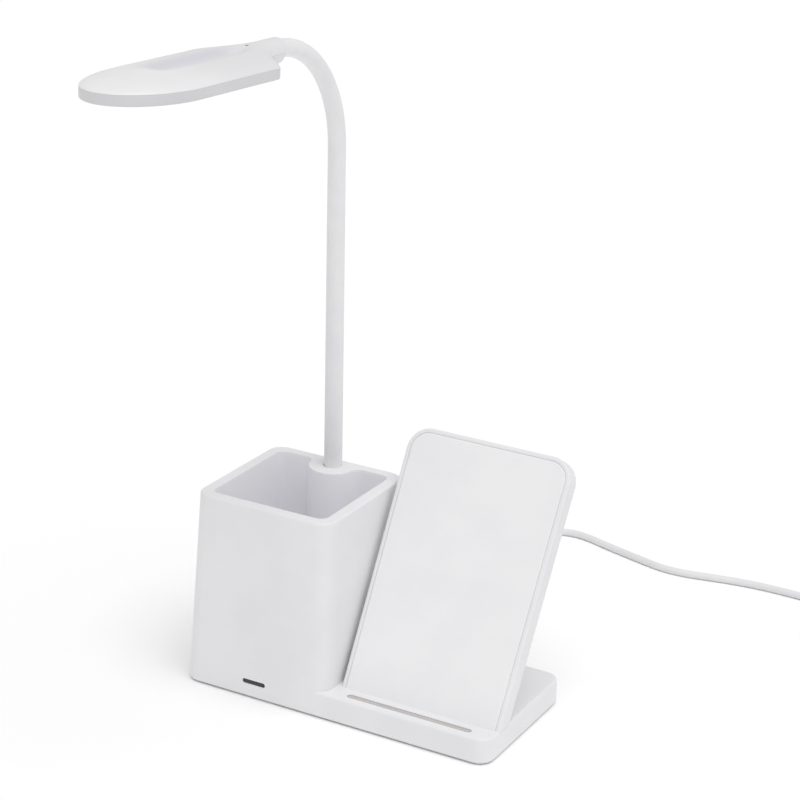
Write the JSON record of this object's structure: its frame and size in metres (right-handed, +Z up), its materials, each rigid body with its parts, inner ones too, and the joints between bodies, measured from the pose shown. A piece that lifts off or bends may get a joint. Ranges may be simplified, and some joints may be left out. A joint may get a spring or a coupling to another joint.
{
  "type": "desk lamp with pen cup and charging rest",
  "caption": "Desk lamp with a bendable neck and flat oblong head, standing on a wide base that holds a square pen cup and a leaning wireless charging rest.",
  "frame": {"origin": "centre of the base's footprint, on the desk", "axes": "+X to the right along the base, +Y to the back, +Z up"},
  "size_m": [0.3629, 0.445, 0.3702],
  "materials": {
    "white_plastic": "fine satin",
    "white_silicone": "satin",
    "grey_rubber": "matte",
    "zinc_steel": "plated",
    "board": "solder mask",
    "dark_parts": "smooth",
    "copper": "enamelled winding",
    "leads": "smooth",
    "nylon": "natural",
    "opal": "opal",
    "led_white": "white",
    "phosphor": "phosphor"
  },
  "bodies": {
    "base": {"body_shell": "white_plastic", "rest_casing": "white_plastic", "bottom_cover": "white_plastic", "grip_pad": "grey_rubber", "cover_screws": "zinc_steel", "rest_screws": "zinc_steel", "ballast_plate": "zinc_steel", "main_board": "board", "board_parts": "dark_parts", "board_screws": "zinc_steel", "inner_leads": "leads", "status_window": "dark_parts", "status_board": "board", "front_plate": "white_plastic", "charging_coil": "copper", "ferrite_sheet": "dark_parts", "charger_board": "board", "grip_strip": "grey_rubber", "neck_bush": "nylon", "neck_retainer": "zinc_steel", "strain_relief": "white_plastic", "cord": "white_plastic", "cord_coil": "white_plastic", "cord_tie": "nylon", "plug_body": "white_plastic", "plug_shell": "zinc_steel", "plug_tongue": "nylon"},
    "neck_0": {"neck_ferrule": "zinc_steel", "hose_0": "zinc_steel", "sleeve_0": "white_silicone", "lead_0": "leads"},
    "neck_1": {"hose_1": "zinc_steel", "sleeve_1": "white_silicone", "lead_1": "leads"},
    "neck_2": {"hose_2": "zinc_steel", "sleeve_2": "white_silicone", "lead_2": "leads"},
    "neck_3": {"hose_3": "zinc_steel", "sleeve_3": "white_silicone", "lead_3": "leads"},
    "neck_4": {"hose_4": "zinc_steel", "sleeve_4": "white_silicone", "lead_4": "leads"},
    "neck_5": {"hose_5": "zinc_steel", "sleeve_5": "white_silicone", "lead_5": "leads"},
    "head": {"hose_6": "zinc_steel", "sleeve_6": "white_silicone", "lead_6": "leads", "head_cover": "white_plastic", "head_housing": "white_plastic", "head_diffuser": "opal", "led_board": "led_white", "leds": "phosphor", "reflector": "led_white", "touch_board": "board", "touch_spring": "zinc_steel", "touch_mark": "dark_parts", "hose_clip": "zinc_steel", "head_screws": "zinc_steel"}
  },
  "joints": [
    {"name": "neck_swivel", "type": "hinge", "parent": "base", "child": "neck_0", "pos_m": [-0.04925, 0.03375, 0.113], "axis": [0, 0, 1], "range_deg": [-75, 75]},
    {"name": "lean_low", "type": "hinge", "parent": "neck_0", "child": "neck_1", "pos_m": [-0.04925, 0.03375, 0.137], "axis": [0.9997, 0, 0.0227], "range_deg": [-15, 15]},
    {"name": "lean_high", "type": "hinge", "parent": "neck_1", "child": "neck_2", "pos_m": [-0.05034, 0.03375, 0.18499], "axis": [0.9997, 0, 0.0227], "range_deg": [-15, 15]},
    {"name": "bend_0", "type": "hinge", "parent": "neck_2", "child": "neck_3", "pos_m": [-0.05287, 0.03375, 0.29646], "axis": [0.9997, 0, 0.0227], "range_deg": [-22, 10]},
    {"name": "bend_1", "type": "hinge", "parent": "neck_3", "child": "neck_4", "pos_m": [-0.05341, 0.02913, 0.32032], "axis": [0.9997, 0, 0.0227], "range_deg": [-22, 10]},
    {"name": "bend_2", "type": "hinge", "parent": "neck_4", "child": "neck_5", "pos_m": [-0.05387, 0.01594, 0.34074], "axis": [0.9997, 0, 0.0227], "range_deg": [-22, 10]},
    {"name": "bend_3", "type": "hinge", "parent": "neck_5", "child": "head", "pos_m": [-0.05419, -0.00391, 0.35477], "axis": [0.9997, 0, 0.0227], "range_deg": [-22, 10]}
  ],
  "couplings": [
    {"joint": "lean_high", "follows": "lean_low", "ratio": 1},
    {"joint": "bend_1", "follows": "bend_0", "ratio": 1},
    {"joint": "bend_2", "follows": "bend_0", "ratio": 1},
    {"joint": "bend_3", "follows": "bend_0", "ratio": 1}
  ]
}
